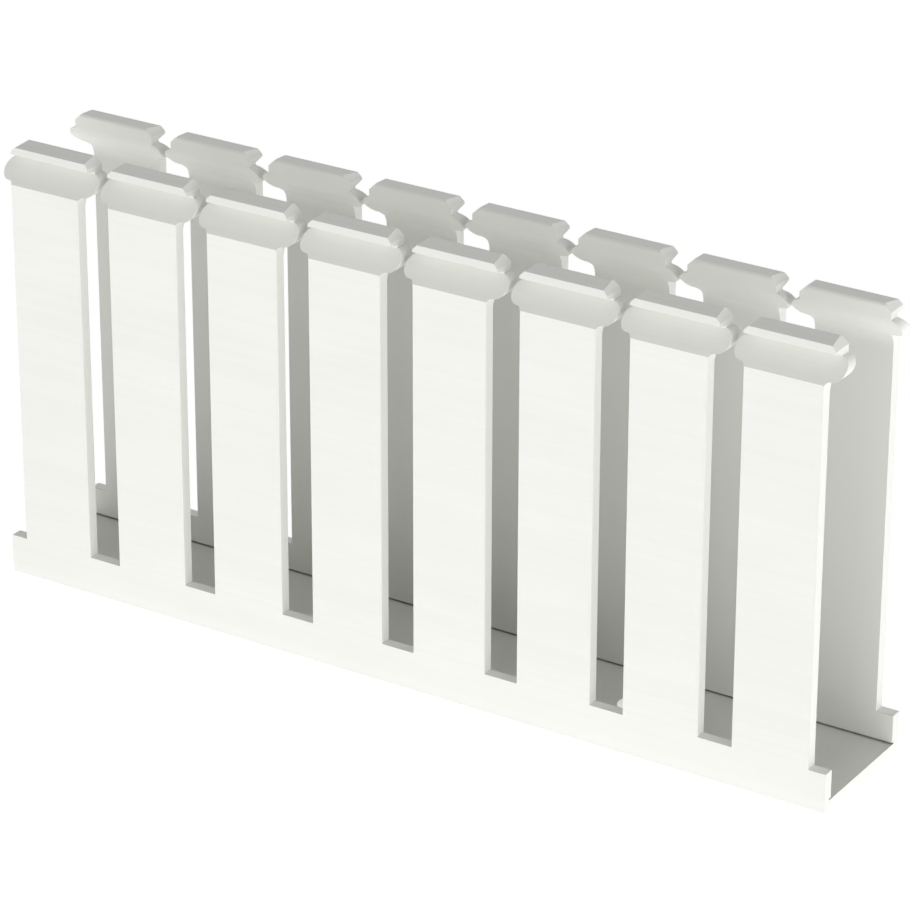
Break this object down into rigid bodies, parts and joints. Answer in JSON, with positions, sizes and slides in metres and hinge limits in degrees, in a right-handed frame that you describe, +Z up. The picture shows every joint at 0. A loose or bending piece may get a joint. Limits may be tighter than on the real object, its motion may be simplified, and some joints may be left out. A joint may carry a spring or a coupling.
{
  "type": "slotted wire duct",
  "caption": "Open slotted wiring duct channel: a floor and two walls punched into fingers, each finger ending in a lobed head that a press-on cover grips.",
  "frame": {"origin": "middle of the underside of the floor, halfway along the duct", "axes": "+X along the duct, +Y across it from one wall to the other, +Z up from the floor to the finger heads"},
  "size_m": [0.2032, 0.0318, 0.1008],
  "materials": {
    "white_pvc": "satin, as extruded, slightly warm white"
  },
  "bodies": {
    "root": {"duct_channel": "white_pvc"}
  },
  "joints": []
}
